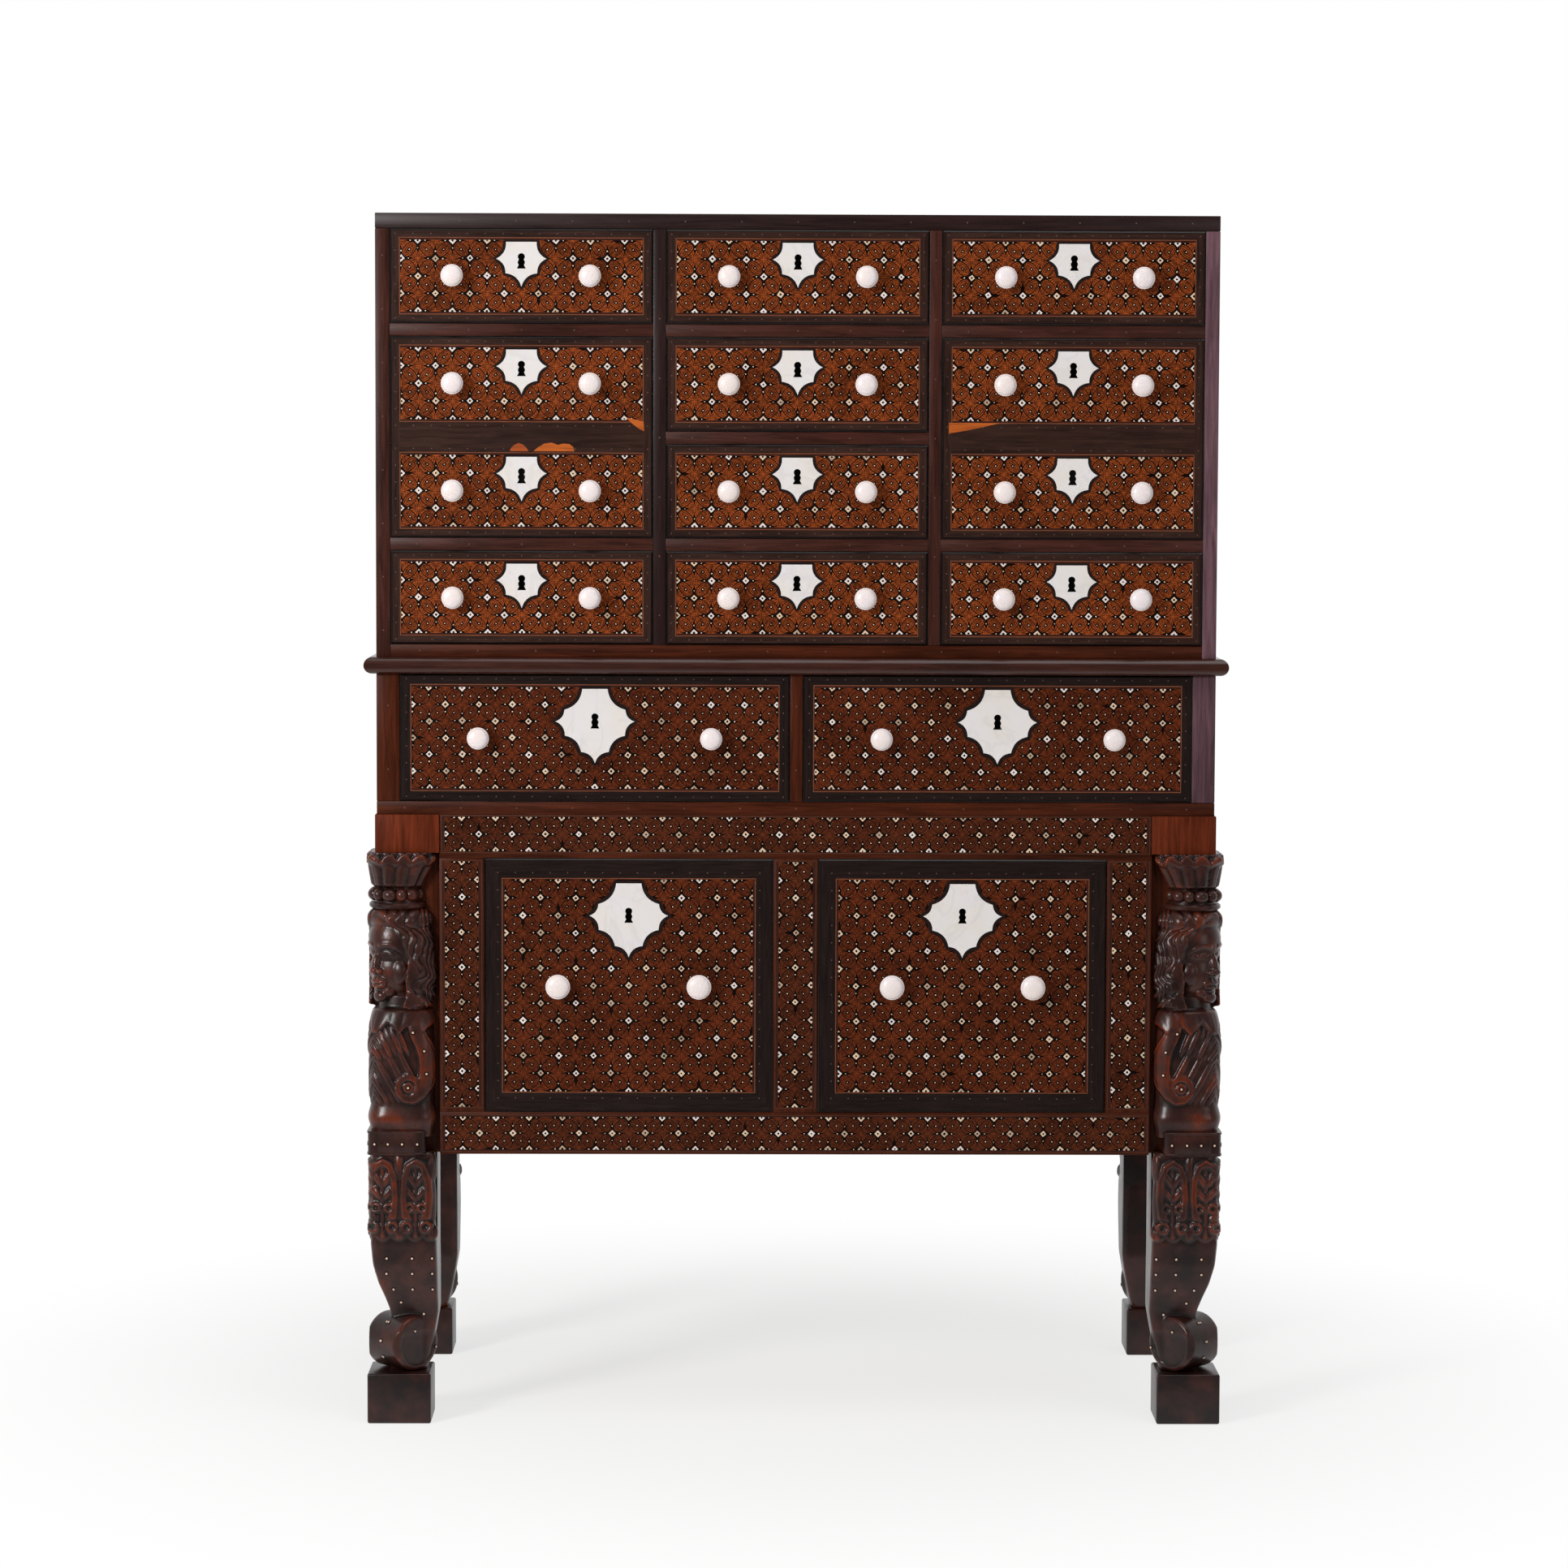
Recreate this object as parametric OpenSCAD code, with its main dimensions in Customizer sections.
// Inlaid chest of drawers on a carved stand, in millimetres.
// X runs to the right, the drawer fronts face -Y, and Z is the height above the floor.
// The origin is on the floor, under the middle of the whole piece, knobs included.

/* [Case] */
// Width of the chest and of the stand boards
case_w = 940; // [880:1:1000]
// Depth of the chest and of the stand, without mouldings and knobs
case_d = 432; // [400:1:470]
// Thickness of the back boards
back_t = 12; // [9:0.5:15]
// Thickness of the hardwood strips on the front edges of the boards
facing_t = 5; // [3:0.5:8]
// Gap where two boards are glued edge to edge
glue_gap = 0.1; // [0.05:0.05:0.3]

/* [Chest] */
// Thickness of the top board
chest_top_t = 17; // [14:0.5:20]
// Thickness of the bottom board
chest_bottom_t = 14; // [11:0.5:17]
// Thickness of the two sides
chest_side_t = 16; // [13:0.5:19]
// Thickness of the two upright dividers
divider_t = 14; // [11:0.5:17]
// Thickness of the boards between the drawers
shelf_t = 14; // [11:0.5:17]
// Height of the opening of a small drawer
small_open_h = 105; // [98:1:115]

/* [Stand] */
// Thickness of the top board of the stand, and height of the moulding on its edge
stand_top_t = 19; // [16:0.5:22]
// How far the moulding stands out from the case
moulding_out = 13.3; // [11.5:0.1:15]
// Height of the opening of a wide drawer
wide_open_h = 143; // [132:1:155]
// Width of the strips at both ends of the wide drawers
end_stile_w = 26; // [22:0.5:30]
// Width of the strip between the wide drawers
muntin_w = 14; // [11:0.5:17]
// Thickness of the board under the wide drawers
rail_h = 15; // [12:0.5:18]
// Height of the inlaid board above the deep drawers
frieze_h = 49; // [44:0.5:56]
// Height of the opening of a deep drawer
deep_open_h = 287; // [265:1:305]
// Height of the inlaid board below the deep drawers
apron_h = 48; // [43:0.5:55]
// Width of the three inlaid uprights beside the deep drawers
stile_w = 50; // [44:0.5:56]
// Thickness of the inlaid boards and uprights
frame_t = 18; // [15:0.5:21]
// Thickness of the side boards of the stand
stand_side_t = 16; // [13:0.5:19]
// Thickness of the boards above and below the deep drawers
runner_t = 14; // [11:0.5:17]
// Thickness of the boards that guide the deep drawers
guide_t = 16; // [13:0.5:19]
// Height of the strips that guide the wide drawers
wide_guide_h = 40; // [30:1:50]

/* [Legs] */
// Height of the inlaid board's lower edge above the floor
apron_z = 306; // [285:1:325]
// Width of the square leg posts
post_w = 72; // [66:0.5:78]
// How far the posts stand out past the case
post_proud = 2; // [1:0.25:4]
// Height of the plain block above the carving
plain_h = 43; // [36:0.5:50]
// Width of the square column that stays behind the carving
core_w = 56; // [50:0.5:60]
// Height of the foot blocks
foot_h = 57; // [50:0.5:64]
// Width of the foot blocks
foot_w = 71.7; // [66:0.1:76]
// How far the foot blocks stand out past the posts
foot_out = 10; // [7:0.5:11]
// How far the scrolls stand out past the posts
scroll_out = 11; // [9:0.25:12]
// Chamfer on the upright edges of the foot blocks
foot_chamfer = 2.5; // [1:0.25:4]
// Radius of the scroll above the foot block
scroll_r = 32; // [28:0.5:34]
// Width of the scroll, across the leg
scroll_w = 50; // [44:0.5:52]
// Middle radius of the ring of beads under the crown
bead_ring_r = 23.5; // [21:0.25:24]
// Radius of the beads
bead_r = 9.5; // [8.5:0.25:10]

/* [Drawers] */
// Thickness of the drawer fronts
front_t = 16; // [14:0.5:19]
// How far the drawer fronts stand out past the case
front_proud = 1.5; // [0.5:0.25:3]
// Chamfer around the face of the drawer fronts
front_chamfer = 1.5; // [0.75:0.25:2.5]
// Gap around the drawer fronts
front_gap = 0.4; // [0.3:0.05:0.7]
// Gap under the drawers
run_gap = 0.3; // [0.2:0.05:0.4]
// Gap beside the drawers
side_gap = 0.7; // [0.5:0.05:0.9]
// Gap above the sides of the drawers
box_top_gap = 9; // [6:0.5:12]
// Space between the drawers and the back boards
box_back_gap = 6; // [4:0.5:10]
// Thickness of the sides and back of the drawers
box_side_t = 9; // [7:0.5:11]
// Thickness of the drawer bottoms
box_bottom_t = 6; // [5:0.5:8]
// Width of the plain border beside the inlay of a small drawer
small_border = 10.4; // [9:0.1:14]
// Width of the plain border beside the inlay of a wide drawer
wide_border = 12.9; // [11:0.1:16]
// Width of the plain border beside the inlay of a deep drawer
deep_border = 24.2; // [21:0.1:28]

/* [Fittings] */
// Radius of the knobs of the small and wide drawers
knob_r = 12.5; // [11:0.25:14]
// Radius of the knobs of the deep drawers
deep_knob_r = 14; // [12:0.25:15.5]
// How far the knobs stand out from the drawer fronts
knob_l = 21; // [18:0.5:24]
// Radius of the tenon of a knob
tenon_r = 4; // [3:0.25:5]
// Length of the tenon of a knob
tenon_l = 9; // [7:0.5:11]
// Gap around the tenon of a knob
tenon_gap = 0.2; // [0.1:0.05:0.4]
// Thickness of the escutcheon plates
plate_t = 1.5; // [1.25:0.25:3]
// Depth of the recess for an escutcheon plate
plate_sink = 1.2; // [0.75:0.05:1.25]
// Gap around an escutcheon plate
plate_gap = 0.15; // [0.1:0.05:0.4]
// Half width of a small escutcheon plate, to its side tips
plate_half_w = 28; // [24:0.5:31]
// Height of a small escutcheon plate above its side tips
plate_rise = 18.6; // [16:0.1:19]
// Height of a small escutcheon plate below its side tips
plate_drop = 31; // [27:0.5:34]
// Half width of a large escutcheon plate, to its side tips
big_plate_half_w = 44.3; // [39:0.1:48]
// Height of a large escutcheon plate above its side tips
big_plate_rise = 36.5; // [31:0.5:37]
// Height of a large escutcheon plate below its side tips
big_plate_drop = 47; // [42:0.5:51]
// Radius of the round end of a keyhole
keyhole_r = 3.6; // [3:0.1:4.2]
// Height of a keyhole
keyhole_h = 17; // [15:0.5:19]
// Width of a keyhole at its foot
keyhole_foot_w = 8.2; // [7:0.1:9]
// Width of a keyhole under its round end
keyhole_neck_w = 4; // [3:0.1:5]
// Depth of a keyhole that has no lock behind it
blind_keyhole_l = 5; // [3:0.5:8]
// Width of a lock
lock_w = 52; // [44:1:60]
// Height of a lock
lock_h = 38; // [32:1:42]
// Thickness of a lock
lock_t = 9; // [7:0.5:12]

/* [Hidden] */
$fn = 48;

// How far a cut runs past the solid it cuts
overrun = 1;

// Heights of the levels, from the floor up
runner_z = apron_z + apron_h;
frieze_z = runner_z + deep_open_h;
post_top_z = frieze_z + frieze_h;
wide_z = post_top_z + rail_h;
stand_top_z = wide_z + wide_open_h;
chest_z = stand_top_z + stand_top_t;
chest_open_z = chest_z + chest_bottom_t;
row_step = small_open_h + shelf_t;
chest_top_z = chest_open_z + 4 * small_open_h + 3 * shelf_t;
total_h = chest_top_z + chest_top_t;
figure_top_z = post_top_z - plain_h;

// Depths. The middle of the case lies behind the origin, because the knobs count in front.
back_reach = post_proud + max(foot_out, scroll_out);
front_reach = max(front_proud + knob_l, moulding_out, back_reach);
case_y = (front_reach - back_reach) / 2;
front_y = case_y - case_d / 2;
back_y = case_y + case_d / 2;
face_y = front_y - front_proud;

// Widths of the openings
small_open_w = (case_w - 2 * chest_side_t - 2 * divider_t) / 3;
column_step = small_open_w + divider_t;
wide_open_w = (case_w - 2 * end_stile_w - muntin_w) / 2;
post_out_x = case_w / 2 + post_proud;
post_in_x = post_out_x - post_w;
post_out_y = case_d / 2 + post_proud;
post_in_y = post_out_y - post_w;
deep_open_w = (2 * post_in_x - 3 * stile_w) / 2;

// Each drawer has a name, the middle of its opening across, the foot, width and height of its
// opening, the border beside its inlay, the inlay's pattern steps across, its kind
small_steps = 14;
wide_steps = 22;
deep_steps = 14;
function small_drawer(name, column, row, rows = 1) = [
    name, column * column_step, chest_open_z + (4 - row - rows) * row_step, small_open_w,
    rows * row_step - shelf_t, small_border, small_steps, rows > 1 ? "double" : "small"
];
function wide_drawer(name, side) = [
    name, side * (muntin_w + wide_open_w) / 2, wide_z, wide_open_w, wide_open_h, wide_border,
    wide_steps, "wide"
];
function deep_drawer(name, side) = [
    name, side * (stile_w + deep_open_w) / 2, runner_z, deep_open_w, deep_open_h, deep_border,
    deep_steps, "deep"
];
DRAWERS = [
    small_drawer("left_top", -1, 0),
    small_drawer("left_middle", -1, 1, 2),
    small_drawer("left_bottom", -1, 3),
    small_drawer("centre_top", 0, 0),
    small_drawer("centre_upper", 0, 1),
    small_drawer("centre_lower", 0, 2),
    small_drawer("centre_bottom", 0, 3),
    small_drawer("right_top", 1, 0),
    small_drawer("right_middle", 1, 1, 2),
    small_drawer("right_bottom", 1, 3),
    wide_drawer("wide_left", -1),
    wide_drawer("wide_right", 1),
    deep_drawer("deep_left", -1),
    deep_drawer("deep_right", 1)
];
function name_of(d) = d[0];
function x_of(d) = d[1];
function open_z_of(d) = d[2];
function open_w_of(d) = d[3];
function open_h_of(d) = d[4];
function kind_of(d) = d[7];
function front_w_of(d) = open_w_of(d) - 2 * front_gap;
function front_h_of(d) = open_h_of(d) - 2 * front_gap;
function mid_z_of(d) = open_z_of(d) + open_h_of(d) / 2;
// One step of the inlay's pattern, which also places the knobs and the escutcheons
function step_of(d) = (front_w_of(d) - 2 * d[5]) / d[6];
// Heights of the middles of the inlaid fields, above the middle of the front
function fields_of(d) = kind_of(d) == "double" ? [row_step / 2, -row_step / 2] : [0];
// Pattern steps from the middle of a field to its knobs, and up to its escutcheon's side tips
function knob_steps_of(d) = kind_of(d) == "wide" ? 7 : 4;
function plate_steps_of(d) = kind_of(d) == "deep" ? 4 : 1;
function knob_r_of(d) = kind_of(d) == "deep" ? deep_knob_r : knob_r;
function has_big_plate(d) = kind_of(d) == "wide" || kind_of(d) == "deep";

// Places of the keyholes below the side tips of their escutcheons
keyhole_lift_share = 0.13;
big_keyhole_lift_share = 0.3;
function keyhole_z_of(d) = has_big_plate(d)
    ? big_keyhole_lift_share * keyhole_h
    : keyhole_lift_share * keyhole_h;

// The corners of half an escutcheon outline, from the top down, as shares of its half width and
// of its rise or drop
small_plate_shares = [[0.61, 1], [1, 0], [0.63, -0.52], [0, -1]];
big_plate_shares = [[0.32, 1], [0.77, 0.36], [1, 0], [0.76, -0.34], [0.35, -0.73], [0, -1]];
scallop_share = 0.17;
scallop_points = 5;
function plate_corners(shares, half_w, rise, drop) = [
    for (s = shares) [s[0] * half_w, s[1] * (s[1] > 0 ? rise : drop)]
];
// Points along a hollow curve from one corner towards the next
function scallop(from, to) = [
    for (i = [0:scallop_points - 1])
        let (
            t = i / scallop_points,
            along = to - from,
            hollow = 4 * scallop_share * t * (1 - t)
        )
        from + t * along + hollow * [along[1], -along[0]]
];
function plate_half(corners) = [
    for (k = [0:len(corners) - 2]) each scallop(corners[k], corners[k + 1])
];
function plate_outline(corners) =
    let (half = plate_half(corners))
    concat(
        half,
        [corners[len(corners) - 1]],
        [for (i = [len(half) - 1:-1:0]) [-half[i][0], half[i][1]]]
    );

// A box between two corners
module board(low, high) {
    translate(low)
        cube(high - low);
}

// Turns a flat outline to face the front, from depth y towards the front
module facing_front(y, thickness) {
    translate([0, y, 0])
        rotate([90, 0, 0])
            linear_extrude(height = thickness)
                children();
}

module chest_top() {
    color("saddlebrown")
        board([-case_w / 2, front_y + facing_t, chest_top_z], [case_w / 2, back_y, total_h]);
}

// The bottom board and the boards between the drawers. The double drawers have none in them.
module chest_boards() {
    inner_x = case_w / 2 - chest_side_t;
    board_back = back_y - back_t;
    color("peru") {
        board([-inner_x, front_y + facing_t, chest_z], [inner_x, board_back, chest_open_z]);
        for (d = DRAWERS)
            if (open_z_of(d) > chest_open_z)
                board(
                    [x_of(d) - small_open_w / 2, front_y + facing_t, open_z_of(d) - shelf_t],
                    [x_of(d) + small_open_w / 2, board_back, open_z_of(d)]
                );
    }
}

module chest_side() {
    board(
        [case_w / 2 - chest_side_t, front_y + facing_t, chest_z],
        [case_w / 2, back_y, chest_top_z]
    );
}

module chest_side_left() {
    color("sienna")
        mirror([1, 0, 0])
            chest_side();
}

module chest_side_right() {
    color("sienna")
        chest_side();
}

module chest_back() {
    inner_x = case_w / 2 - chest_side_t;
    color("burlywood")
        board([-inner_x, back_y - back_t, chest_z], [inner_x, back_y, chest_top_z]);
}

module chest_dividers() {
    color("peru")
        for (side = [-1, 1])
            translate([side * column_step / 2, 0, 0])
                board(
                    [-divider_t / 2, front_y + facing_t, chest_open_z],
                    [divider_t / 2, back_y - back_t, chest_top_z]
                );
}

// Strips on the front edges of the top, the sides, the bottom, the dividers and the shelves
module chest_facings() {
    side_x = case_w / 2 - chest_side_t;
    back = front_y + facing_t;
    strip_half_w = small_open_w / 2 - glue_gap;
    color("#4a2420") {
        board([-case_w / 2, front_y, chest_top_z], [case_w / 2, back, total_h]);
        board([glue_gap - side_x, front_y, chest_z], [side_x - glue_gap, back, chest_open_z]);
        for (side = [-1, 1]) {
            translate([side * (side_x + chest_side_t / 2), 0, 0])
                board(
                    [-chest_side_t / 2, front_y, chest_z],
                    [chest_side_t / 2, back, chest_top_z - glue_gap]
                );
            translate([side * column_step / 2, 0, 0])
                board(
                    [-divider_t / 2, front_y, chest_open_z + glue_gap],
                    [divider_t / 2, back, chest_top_z - glue_gap]
                );
        }
        for (d = DRAWERS)
            if (open_z_of(d) > chest_open_z)
                board(
                    [x_of(d) - strip_half_w, front_y, open_z_of(d) - shelf_t],
                    [x_of(d) + strip_half_w, back, open_z_of(d)]
                );
    }
}

// Section of the moulding: x is how far it stands out, y is its height
module moulding_section() {
    half = stand_top_t / 2;
    square([moulding_out - half, stand_top_t]);
    translate([moulding_out - half, half])
        circle(r = half);
}

module moulding_plan(points) {
    translate([0, 0, stand_top_z - overrun])
        linear_extrude(height = stand_top_t + 2 * overrun)
            polygon(points);
}

module side_moulding() {
    edge_x = case_w / 2;
    intersection() {
        translate([edge_x, back_y, stand_top_z])
            rotate([90, 0, 0])
                linear_extrude(height = case_d + moulding_out)
                    intersection() {
                        moulding_section();
                        square([moulding_out, stand_top_t]);
                    }
        moulding_plan([
            [edge_x, front_y + glue_gap],
            [edge_x + moulding_out, front_y - moulding_out + glue_gap],
            [edge_x + moulding_out, back_y],
            [edge_x, back_y]
        ]);
    }
}

// Half-round moulding along the front and the sides of the stand's top board, mitred
module waist_moulding() {
    edge_x = case_w / 2;
    color("#3a211c") {
        intersection() {
            translate([edge_x + moulding_out, front_y, stand_top_z])
                rotate([90, 0, -90])
                    linear_extrude(height = case_w + 2 * moulding_out)
                        intersection() {
                            moulding_section();
                            square([moulding_out, stand_top_t]);
                        }
            moulding_plan([
                [-edge_x - moulding_out, front_y - moulding_out],
                [edge_x + moulding_out, front_y - moulding_out],
                [edge_x, front_y],
                [-edge_x, front_y]
            ]);
        }
        side_moulding();
        mirror([1, 0, 0])
            side_moulding();
    }
}

// Plan of the boards that reach between the posts, with notched corners
module notched_plan() {
    side_x = case_w / 2 - stand_side_t;
    translate([-post_in_x, front_y + frame_t])
        square([2 * post_in_x, case_d - frame_t - back_t]);
    translate([-side_x, case_y - post_in_y])
        square([2 * side_x, 2 * post_in_y]);
}

// The top board, the board under the wide drawers, and those above and below the deep drawers
module stand_boards() {
    color("peru") {
        board([-case_w / 2, front_y, stand_top_z], [case_w / 2, back_y, chest_z]);
        board([-case_w / 2, front_y + facing_t, post_top_z], [case_w / 2, back_y, wide_z]);
        translate([0, 0, frieze_z])
            linear_extrude(height = runner_t)
                notched_plan();
        translate([0, 0, runner_z - runner_t])
            linear_extrude(height = runner_t)
                notched_plan();
    }
}

module stand_sides() {
    color("sienna")
        for (side = [-1, 1])
            translate([side * (case_w - stand_side_t) / 2, 0, 0]) {
                board(
                    [-stand_side_t / 2, front_y + facing_t, wide_z],
                    [stand_side_t / 2, back_y, stand_top_z]
                );
                board(
                    [-stand_side_t / 2, case_y - post_in_y, apron_z],
                    [stand_side_t / 2, case_y + post_in_y, post_top_z]
                );
            }
}

module stand_back() {
    upper_x = case_w / 2 - stand_side_t;
    color("burlywood") {
        board([-upper_x, back_y - back_t, wide_z], [upper_x, back_y, stand_top_z]);
        board([-post_in_x, back_y - back_t, apron_z], [post_in_x, back_y, post_top_z]);
    }
}

// The board between the wide drawers, the strips outside them, and four boards that guide the
// deep drawers behind the inlaid uprights
module stand_guides() {
    side_x = case_w / 2 - stand_side_t;
    guide_back = back_y - back_t;
    color("peru") {
        board(
            [-muntin_w / 2, front_y + facing_t, wide_z],
            [muntin_w / 2, guide_back, stand_top_z]
        );
        for (side = [-1, 1])
            mirror([side > 0 ? 0 : 1, 0, 0]) {
                board(
                    [case_w / 2 - end_stile_w, front_y + facing_t, wide_z],
                    [side_x, guide_back, wide_z + wide_guide_h]
                );
                board(
                    [stile_w / 2 - guide_t, front_y + frame_t, runner_z],
                    [stile_w / 2, guide_back, frieze_z]
                );
                board(
                    [post_in_x - stile_w, front_y + frame_t, runner_z],
                    [post_in_x - stile_w + guide_t, guide_back, frieze_z]
                );
            }
    }
}

// Strips on the front edges around the wide drawers
module stand_facings() {
    end_x = case_w / 2 - end_stile_w;
    back = front_y + facing_t;
    strip_z = wide_z + glue_gap;
    color("#4a2420") {
        board([-case_w / 2, front_y, post_top_z], [case_w / 2, back, wide_z]);
        board([-muntin_w / 2, front_y, strip_z], [muntin_w / 2, back, stand_top_z]);
        board([-case_w / 2, front_y, strip_z], [-end_x, back, stand_top_z]);
        board([end_x, front_y, strip_z], [case_w / 2, back, stand_top_z]);
    }
}

// The inlaid boards above and below the deep drawers, and three inlaid uprights
module stand_front_frame() {
    back = front_y + frame_t;
    color("#7a3a1c") {
        board([-post_in_x, front_y, frieze_z], [post_in_x, back, post_top_z]);
        board([-post_in_x, front_y, apron_z], [post_in_x, back, runner_z]);
        for (side = [-1, 0, 1])
            translate([side * (post_in_x - stile_w / 2), 0, 0])
                board(
                    [-stile_w / 2, front_y, runner_z + glue_gap],
                    [stile_w / 2, back, frieze_z - glue_gap]
                );
    }
}

// Sections of the carving. Each has its height as a share of the stretch, how far its middle
// lies out from the post's middle and its half width as shares of the post, and its squareness.
// The lower stretch runs from the foot block up to the belt, and the upper one up to the crown.
lower_ring_shares = [
    [0, 0.01, 0.3, 6], [0.09, -0.035, 0.34, 7], [0.17, -0.07, 0.37, 8], [0.265, -0.1, 0.4, 8],
    [0.335, -0.06, 0.44, 8], [0.405, -0.01, 0.49, 8], [0.495, 0.03, 0.53, 8], [0.57, 0.055, 0.555, 8],
    [0.6, 0.075, 0.575, 5], [0.72, 0.075, 0.575, 5], [0.93, 0.07, 0.57, 5], [1, 0.05, 0.54, 5]
];
upper_ring_shares = [
    [0, 0.17, 0.48, 8], [0.08, 0.17, 0.48, 8], [0.083, 0.08, 0.46, 4], [0.13, 0.085, 0.495, 3],
    [0.23, 0.09, 0.53, 4], [0.365, 0.1, 0.54, 4], [0.44, 0.075, 0.49, 3], [0.475, 0.07, 0.43, 2.5],
    [0.53, 0.085, 0.49, 2.2], [0.63, 0.1, 0.53, 2.2], [0.74, 0.11, 0.53, 2.2], [0.8, 0.14, 0.44, 2.2],
    [0.825, 0.16, 0.38, 2.2], [0.89, 0.16, 0.42, 2.5], [0.95, 0.12, 0.48, 3], [1, 0.09, 0.545, 5]
];
ring_points = 24;
figure_rings = concat(
    [for (r = lower_ring_shares) [foot_h + r[0] * (apron_z - foot_h), r[1], r[2], r[3]]],
    [for (r = upper_ring_shares) [apron_z + r[0] * (figure_top_z - apron_z), r[1], r[2], r[3]]]
);
bead_z_share = 0.86;
bead_out_share = 0.19;
core_low_share = 0.27;

// A point of a squarish round section, at one angle
function squarish(angle, squareness) =
    let (reach = pow(
        pow(abs(cos(angle)), squareness) + pow(abs(sin(angle)), squareness),
        -1 / squareness
    ))
    [reach * cos(angle), reach * sin(angle)];

// The figure's mass, around the middle of its post, swelling towards +X and -Y
module figure_mass() {
    count = len(figure_rings);
    points = [
        for (ring = figure_rings)
            for (i = [0:ring_points - 1])
                let (
                    out = ring[1] * post_w,
                    flat = ring[2] * post_w * squarish(360 * i / ring_points, ring[3])
                )
                [out + flat[0], flat[1] - out, ring[0]]
    ];
    sides = [
        for (k = [0:count - 2])
            for (i = [0:ring_points - 1])
                let (
                    a = k * ring_points + i,
                    b = k * ring_points + (i + 1) % ring_points
                )
                each [[a, a + ring_points, b], [b, a + ring_points, b + ring_points]]
    ];
    foot = [for (i = [1:ring_points - 2]) [0, i, i + 1]];
    top_first = (count - 1) * ring_points;
    top = [for (i = [1:ring_points - 2]) [top_first, top_first + i + 1, top_first + i]];
    polyhedron(points, concat(sides, foot, top));
}

// Plan of a foot block, with its outer corner at the given reach from the post's middle
module foot_plan() {
    high = post_w / 2 + foot_out;
    low = high - foot_w;
    c = foot_chamfer;
    polygon([
        [low + c, -high], [high - c, -high], [high, c - high], [high, -low - c],
        [high - c, -low], [low + c, -low], [low, -low - c], [low, c - high]
    ]);
}

// One leg, around the middle of its post, for the front right corner: a plain block at the top,
// a crowned figure over a scroll that looks out from the corner, and a foot block
module leg() {
    half = post_w / 2;
    core_z = foot_h + core_low_share * (apron_z - foot_h);
    bead_z = apron_z + bead_z_share * (figure_top_z - apron_z);
    scroll_mid = half + scroll_out - (scroll_r + scroll_w / 2) * cos(45);
    color("#3c2422")
        union() {
            board([-half, -half, figure_top_z - overrun], [half, half, post_top_z]);
            board([-half, half - core_w, core_z], [core_w - half, half, figure_top_z]);
            figure_mass();
            translate([bead_out_share * post_w, -bead_out_share * post_w, bead_z])
                rotate_extrude($fn = 32)
                    translate([bead_ring_r, 0])
                        circle(r = bead_r, $fn = 24);
            linear_extrude(height = foot_h)
                foot_plan();
            translate([scroll_mid, -scroll_mid, foot_h + scroll_r])
                rotate([0, 90, 45])
                    cylinder(r = scroll_r, h = scroll_w, center = true);
        }
}

module leg_at(left, back) {
    translate([0, case_y, 0])
        mirror([left, 0, 0])
            mirror([0, back, 0])
                translate([post_out_x - post_w / 2, post_w / 2 - post_out_y, 0])
                    leg();
}

module leg_front_left() {
    leg_at(1, 0);
}

module leg_front_right() {
    leg_at(0, 0);
}

module leg_back_left() {
    leg_at(1, 1);
}

module leg_back_right() {
    leg_at(0, 1);
}

// Moves a drawer's pieces from the middle of its face to their place in the case
module at_drawer(d) {
    translate([x_of(d), face_y, mid_z_of(d)])
        children();
}

// A plate with chamfered edges around its face, with the middle of the face at the origin
module chamfered_plate(w, h, t, c) {
    intersection() {
        linear_extrude(height = h, center = true)
            polygon([
                [c - w / 2, 0], [w / 2 - c, 0], [w / 2, c],
                [w / 2, t], [-w / 2, t], [-w / 2, c]
            ]);
        rotate([90, 0, 90])
            linear_extrude(height = w, center = true)
                polygon([
                    [0, c - h / 2], [c, -h / 2], [t, -h / 2],
                    [t, h / 2], [c, h / 2], [0, h / 2 - c]
                ]);
    }
}

// Outline of an escutcheon plate, around the middle of its side tips, grown by a gap
module plate_shape(d, gap = 0) {
    big = has_big_plate(d);
    half_w = big ? big_plate_half_w : plate_half_w;
    corners = big
        ? plate_corners(big_plate_shares, half_w, big_plate_rise, big_plate_drop)
        : plate_corners(small_plate_shares, half_w, plate_rise, plate_drop);
    scale(1 + gap / half_w)
        polygon(plate_outline(corners));
}

// Outline of a keyhole, around the middle of its round end
module keyhole_shape() {
    foot_z = keyhole_r - keyhole_h;
    circle(r = keyhole_r, $fn = 24);
    polygon([
        [-keyhole_neck_w / 2, 0], [keyhole_neck_w / 2, 0],
        [keyhole_foot_w / 2, foot_z], [-keyhole_foot_w / 2, foot_z]
    ]);
}

// Places what is drawn at the middle of each escutcheon's side tips
module at_plates(d) {
    for (field = fields_of(d))
        translate([0, 0, field + plate_steps_of(d) * step_of(d)])
            children();
}

// Places what is drawn at the middle of each knob
module at_knobs(d) {
    for (field = fields_of(d))
        for (side = [-1, 1])
            translate([side * knob_steps_of(d) * step_of(d), 0, field])
                children();
}

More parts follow.
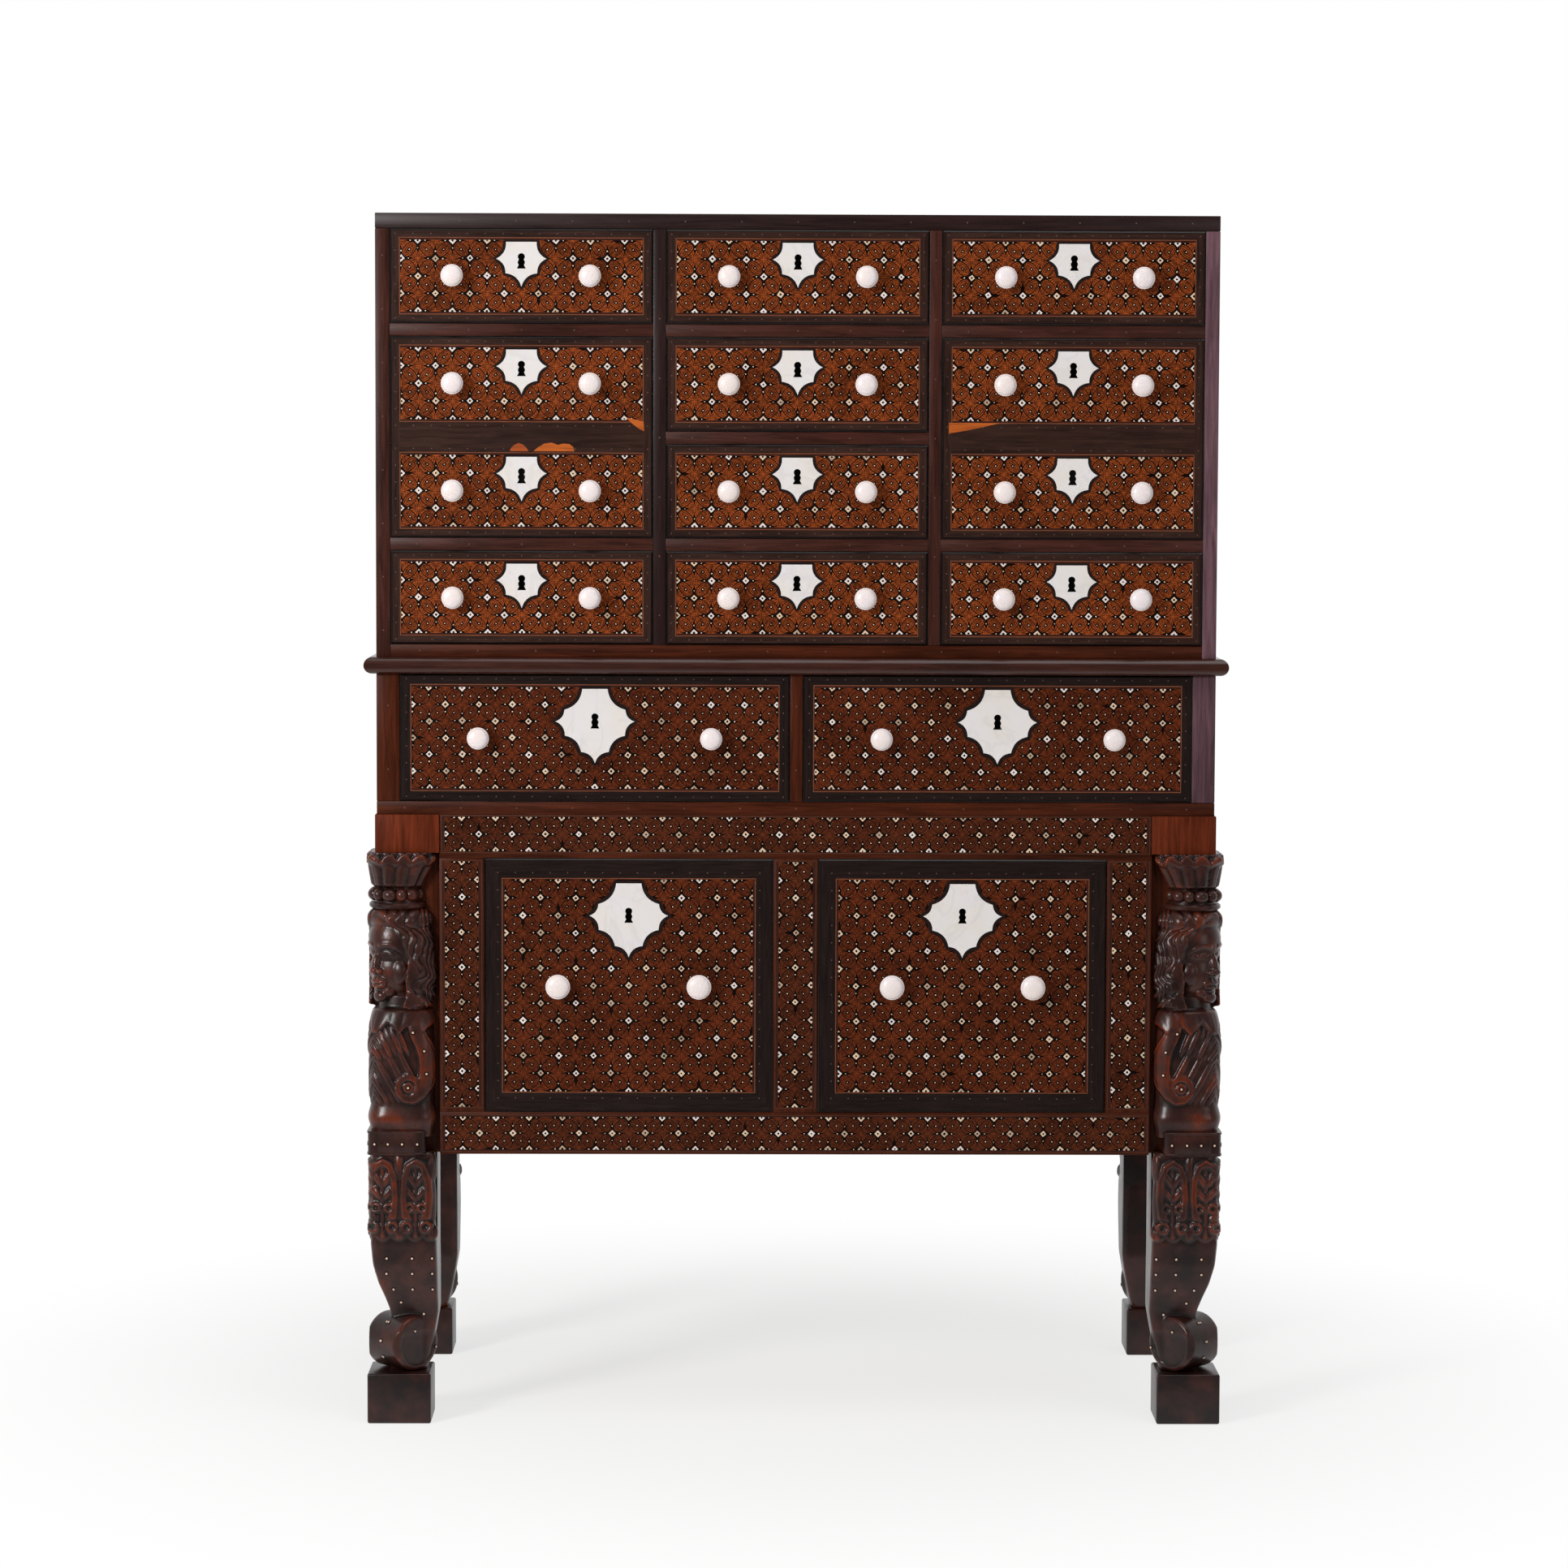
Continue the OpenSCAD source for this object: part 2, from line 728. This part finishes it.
module drawer_front(d) {
    color("#8a3d14")
        at_drawer(d)
            difference() {
                chamfered_plate(front_w_of(d), front_h_of(d), front_t, front_chamfer);
                at_knobs(d)
                    rotate([-90, 0, 0])
                        translate([0, 0, -overrun])
                            cylinder(r = tenon_r + tenon_gap, h = tenon_l + tenon_gap + overrun);
                at_plates(d)
                    facing_front(plate_sink, plate_sink + overrun)
                        plate_shape(d, plate_gap);
                at_plates(d)
                    translate([0, 0, keyhole_z_of(d)])
                        facing_front(blind_keyhole_l, blind_keyhole_l + overrun)
                            keyhole_shape();
                translate([0, 0, fields_of(d)[0] + plate_steps_of(d) * step_of(d) + keyhole_z_of(d)])
                    facing_front(front_t + overrun, front_t + 2 * overrun)
                        keyhole_shape();
            }
}

// The two sides, the back and the bottom of a drawer
module drawer_box(d) {
    half_w = open_w_of(d) / 2 - side_gap;
    inner_x = half_w - box_side_t;
    low = run_gap - open_h_of(d) / 2;
    side_low = low + box_bottom_t;
    high = open_h_of(d) / 2 - box_top_gap;
    end = back_y - back_t - box_back_gap - face_y;
    color("tan")
        at_drawer(d) {
            board([-half_w, front_t, low], [half_w, end, side_low - glue_gap]);
            board([-half_w, front_t, side_low], [-inner_x, end, high]);
            board([inner_x, front_t, side_low], [half_w, end, high]);
            board(
                [glue_gap - inner_x, end - box_side_t, side_low],
                [inner_x - glue_gap, end, high]
            );
        }
}

// Half section of a knob: x is its radius and y is how far it stands out
knob_foot_share = 0.6;
knob_foot_l_share = 0.12;
knob_neck_share = 0.42;
knob_neck_l_share = 0.3;
knob_rim_l_share = 0.6;
knob_curve_points = 6;
function knob_section(r) = concat(
    [
        [0, -tenon_l], [tenon_r, -tenon_l], [tenon_r, 0], [knob_foot_share * r, 0],
        [knob_foot_share * r, knob_foot_l_share * knob_l],
        [knob_neck_share * r, knob_neck_l_share * knob_l]
    ],
    [
        for (i = [1:knob_curve_points])
            let (turn = 90 * i / knob_curve_points)
            [
                r * (1 - (1 - knob_neck_share) * cos(turn)),
                knob_l * (knob_neck_l_share + (knob_rim_l_share - knob_neck_l_share) * (1 - cos(turn)))
            ]
    ],
    [
        for (i = [1:knob_curve_points])
            let (turn = 90 * i / knob_curve_points)
            [r * cos(turn), knob_l * (knob_rim_l_share + (1 - knob_rim_l_share) * sin(turn))]
    ]
);

module knob(r) {
    rotate([90, 0, 0])
        rotate_extrude()
            polygon(knob_section(r));
}

// The turned knobs, the escutcheon plates and the lock of a drawer
module drawer_fittings(d) {
    lock_z = fields_of(d)[0] + plate_steps_of(d) * step_of(d) + keyhole_z_of(d) - lock_h / 2;
    color("ivory")
        at_drawer(d) {
            at_knobs(d)
                knob(knob_r_of(d));
            at_plates(d)
                facing_front(plate_sink, plate_t)
                    difference() {
                        plate_shape(d);
                        translate([0, keyhole_z_of(d)])
                            keyhole_shape();
                    }
        }
    color("dimgray")
        at_drawer(d)
            board([-lock_w / 2, front_t, lock_z], [lock_w / 2, front_t + lock_t, lock_z + lock_h]);
}

chest_top();
chest_boards();
chest_side_left();
chest_side_right();
chest_back();
chest_dividers();
chest_facings();
waist_moulding();
stand_boards();
stand_sides();
stand_back();
stand_guides();
stand_facings();
stand_front_frame();
leg_front_left();
leg_front_right();
leg_back_left();
leg_back_right();
for (d = DRAWERS) {
    drawer_front(d);
    drawer_box(d);
    drawer_fittings(d);
}
